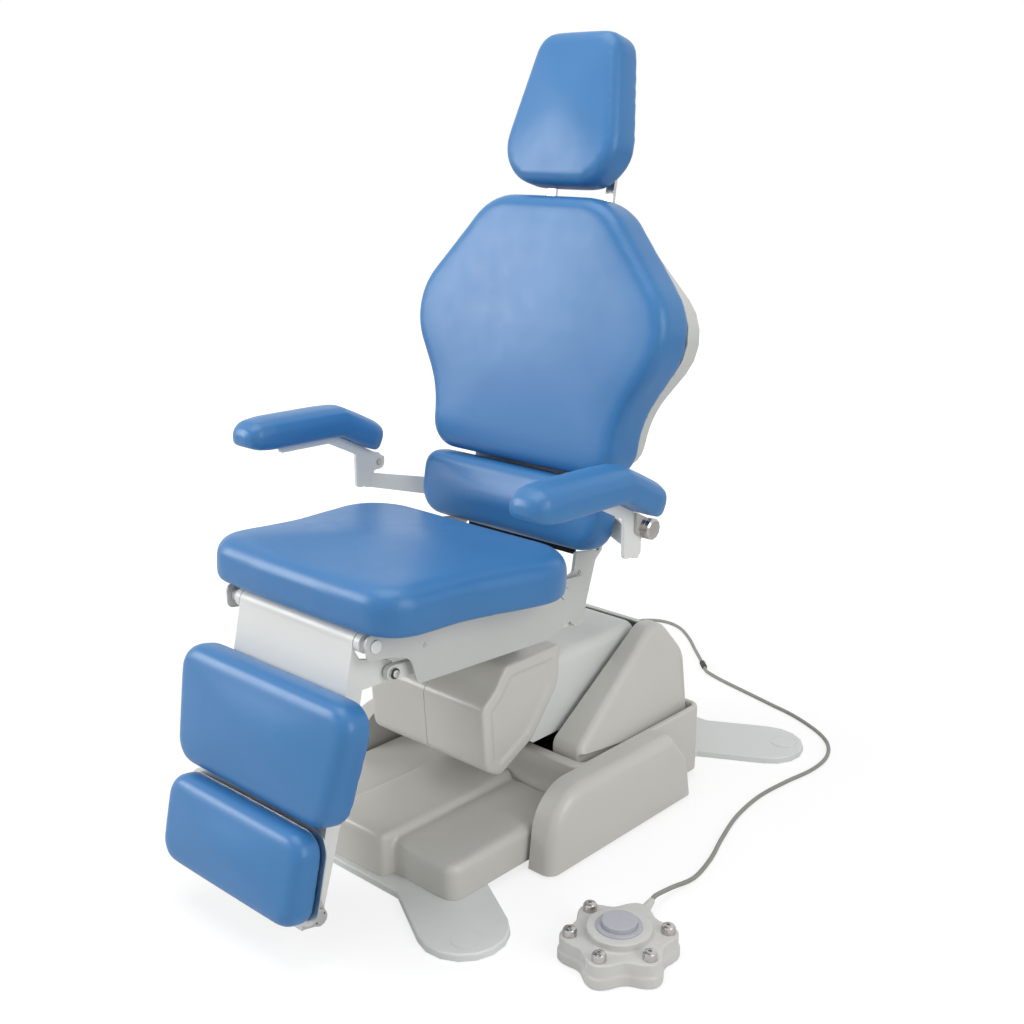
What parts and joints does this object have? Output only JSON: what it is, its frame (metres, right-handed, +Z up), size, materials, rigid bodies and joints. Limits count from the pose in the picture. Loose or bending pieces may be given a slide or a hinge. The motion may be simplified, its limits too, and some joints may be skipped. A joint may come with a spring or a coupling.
{
  "type": "ent examination chair",
  "caption": "Powered examination chair with a parallel lift arm, reclining back linked to the legrest, folding footrest, sliding headrest, folding armrests and a cabled foot pedal",
  "frame": {"origin": "on the floor, at the middle of the base plate's underside", "axes": "+X to the seated patient's left, -Y to the front of the chair, +Z up"},
  "size_m": [0.8576, 1.4091, 1.237],
  "materials": {
    "upholstery": "smooth blue synthetic leather over foam, soft sheen",
    "cover_plastic": "beige-grey moulded plastic, fine grain",
    "white_paint": "off-white powder coat",
    "grey_paint": "light grey powder coat",
    "steel": "bare steel, fine brushing",
    "chrome": "bright chrome plating",
    "black_plastic": "black moulded plastic",
    "pedal_plastic": "off-white moulded plastic",
    "pedal_disc_grey": "soft grey rubber",
    "cable": "grey cable jacket"
  },
  "bodies": {
    "base": {"base_plate": "grey_paint", "base_front_cover": "cover_plastic", "base_tray": "cover_plastic", "side_cover_left": "cover_plastic", "side_cover_right": "cover_plastic", "pivot_cover_left": "cover_plastic", "pivot_cover_right": "cover_plastic", "pivot_bracket_left": "grey_paint", "pivot_bracket_right": "grey_paint", "rear_panel": "grey_paint", "centre_bracket": "grey_paint", "control_box": "black_plastic", "lift_pivot_shaft": "steel", "pedal_housing": "pedal_plastic", "pedal_strain_relief": "pedal_plastic", "pedal_cable": "cable", "cable_joint": "black_plastic", "chair_lead": "cable", "cable_gland": "black_plastic"},
    "arm": {"lift_arm": "grey_paint"},
    "parallel_link": {"level_link": "steel"},
    "actuator_body": {"lift_actuator_body": "black_plastic"},
    "actuator_rod": {"lift_actuator_rod": "steel"},
    "seat": {"seat_carrier": "grey_paint", "arm_front_cover_left": "cover_plastic", "arm_front_cover_right": "cover_plastic", "arm_front_shaft": "steel", "seat_frame": "white_paint", "seat_cushion": "upholstery", "legrest_hinge_tube": "white_paint", "backrest_hinge_shaft": "steel"},
    "backrest": {"backrest_frame": "white_paint", "back_cushion": "upholstery", "back_shell": "white_paint", "lumbar_cushion": "upholstery", "headrest_guide": "black_plastic", "armrest_bracket_left": "white_paint", "armrest_bracket_right": "white_paint"},
    "legrest": {"legrest_plate": "white_paint", "leg_pad": "upholstery", "link_rod_pin": "steel"},
    "linkage_rod": {"link_rod": "white_paint"},
    "footrest": {"footrest_bracket": "steel", "foot_pad": "upholstery", "footrest_pivot_cap_left": "steel", "footrest_pivot_cap_right": "steel"},
    "headrest_slide": {"headrest_stem": "grey_paint"},
    "headrest": {"headrest_plate": "grey_paint", "headrest_pad": "upholstery"},
    "armrest_left": {"armrest_pad_left": "upholstery", "armrest_hinge_left": "chrome"},
    "armrest_right": {"armrest_pad_right": "upholstery", "armrest_hinge_right": "chrome"},
    "disc_key": {"pedal_disc": "pedal_disc_grey"},
    "stud_key_1": {"pedal_button_1": "chrome"},
    "stud_key_2": {"pedal_button_2": "chrome"},
    "stud_key_3": {"pedal_button_3": "chrome"},
    "stud_key_4": {"pedal_button_4": "chrome"},
    "stud_key_5": {"pedal_button_5": "chrome"}
  },
  "joints": [
    {"name": "seat_lift", "type": "hinge", "parent": "base", "child": "arm", "pos_m": [0, 0.13, 0.235], "axis": [-1, 0, 0], "range_deg": [0, 40]},
    {"name": "parallel_link_turn", "type": "hinge", "parent": "base", "child": "parallel_link", "pos_m": [0, 0.13, 0.185], "axis": [-1, 0, 0], "range_deg": [0, 40]},
    {"name": "actuator_turn", "type": "hinge", "parent": "base", "child": "actuator_body", "pos_m": [0.032, 0.03, 0.048], "axis": [-1, 0, 0], "range_deg": [0, 18.6]},
    {"name": "actuator_stroke", "type": "slide", "parent": "actuator_body", "child": "actuator_rod", "axis": [0, -0.5372, 0.8434], "range_m": [0, 0.1155]},
    {"name": "seat_level", "type": "hinge", "parent": "arm", "child": "seat", "pos_m": [0, -0.17, 0.235], "axis": [-1, 0, 0], "range_deg": [-40, 0]},
    {"name": "backrest_recline", "type": "hinge", "parent": "seat", "child": "backrest", "pos_m": [0, -0.078, 0.405], "axis": [-1, 0, 0], "range_deg": [0, 75]},
    {"name": "legrest_raise", "type": "hinge", "parent": "seat", "child": "legrest", "pos_m": [0, -0.46799, 0.434], "axis": [-1, 0, 0], "range_deg": [0, 75]},
    {"name": "linkage_rod_turn", "type": "hinge", "parent": "legrest", "child": "linkage_rod", "pos_m": [0.1325, -0.42199, 0.377], "axis": [-1, 0, 0], "range_deg": [-75, 0]},
    {"name": "footrest_fold", "type": "hinge", "parent": "legrest", "child": "footrest", "pos_m": [0, -0.56527, 0.05928], "axis": [1, 0, 0], "range_deg": [0, 90]},
    {"name": "headrest_height", "type": "slide", "parent": "backrest", "child": "headrest_slide", "axis": [0, 0.1736, 0.9848], "range_m": [0, 0.1]},
    {"name": "headrest_tilt", "type": "hinge", "parent": "headrest_slide", "child": "headrest", "pos_m": [0, 0.14275, 1.04179], "axis": [-1, 0, 0], "range_deg": [0, 30]},
    {"name": "armrest_left_fold", "type": "hinge", "parent": "backrest", "child": "armrest_left", "pos_m": [0.29, -0.06, 0.5365], "axis": [-1, 0, 0], "range_deg": [0, 80]},
    {"name": "armrest_right_fold", "type": "hinge", "parent": "backrest", "child": "armrest_right", "pos_m": [-0.29, -0.06, 0.5365], "axis": [-1, 0, 0], "range_deg": [0, 80]},
    {"name": "disc_key_press", "type": "slide", "parent": "base", "child": "disc_key", "axis": [0, 0, -1], "range_m": [0, 0.004], "stiffness_N_per_m": 1500, "springref_m": -0.001},
    {"name": "stud_key_1_press", "type": "slide", "parent": "base", "child": "stud_key_1", "axis": [0, 0, -1], "range_m": [0, 0.004], "stiffness_N_per_m": 1500, "springref_m": -0.001},
    {"name": "stud_key_2_press", "type": "slide", "parent": "base", "child": "stud_key_2", "axis": [0, 0, -1], "range_m": [0, 0.004], "stiffness_N_per_m": 1500, "springref_m": -0.001},
    {"name": "stud_key_3_press", "type": "slide", "parent": "base", "child": "stud_key_3", "axis": [0, 0, -1], "range_m": [0, 0.004], "stiffness_N_per_m": 1500, "springref_m": -0.001},
    {"name": "stud_key_4_press", "type": "slide", "parent": "base", "child": "stud_key_4", "axis": [0, 0, -1], "range_m": [0, 0.004], "stiffness_N_per_m": 1500, "springref_m": -0.001},
    {"name": "stud_key_5_press", "type": "slide", "parent": "base", "child": "stud_key_5", "axis": [0, 0, -1], "range_m": [0, 0.004], "stiffness_N_per_m": 1500, "springref_m": -0.001}
  ],
  "couplings": [
    {"joint": "parallel_link_turn", "follows": "seat_lift", "ratio": 1},
    {"joint": "actuator_turn", "follows": "seat_lift", "ratio": 0.4642},
    {"joint": "actuator_stroke", "follows": "seat_lift", "m_per_rad": 0.1651},
    {"joint": "seat_level", "follows": "seat_lift", "ratio": -1},
    {"joint": "legrest_raise", "follows": "backrest_recline", "ratio": 1},
    {"joint": "linkage_rod_turn", "follows": "backrest_recline", "ratio": -1}
  ]
}
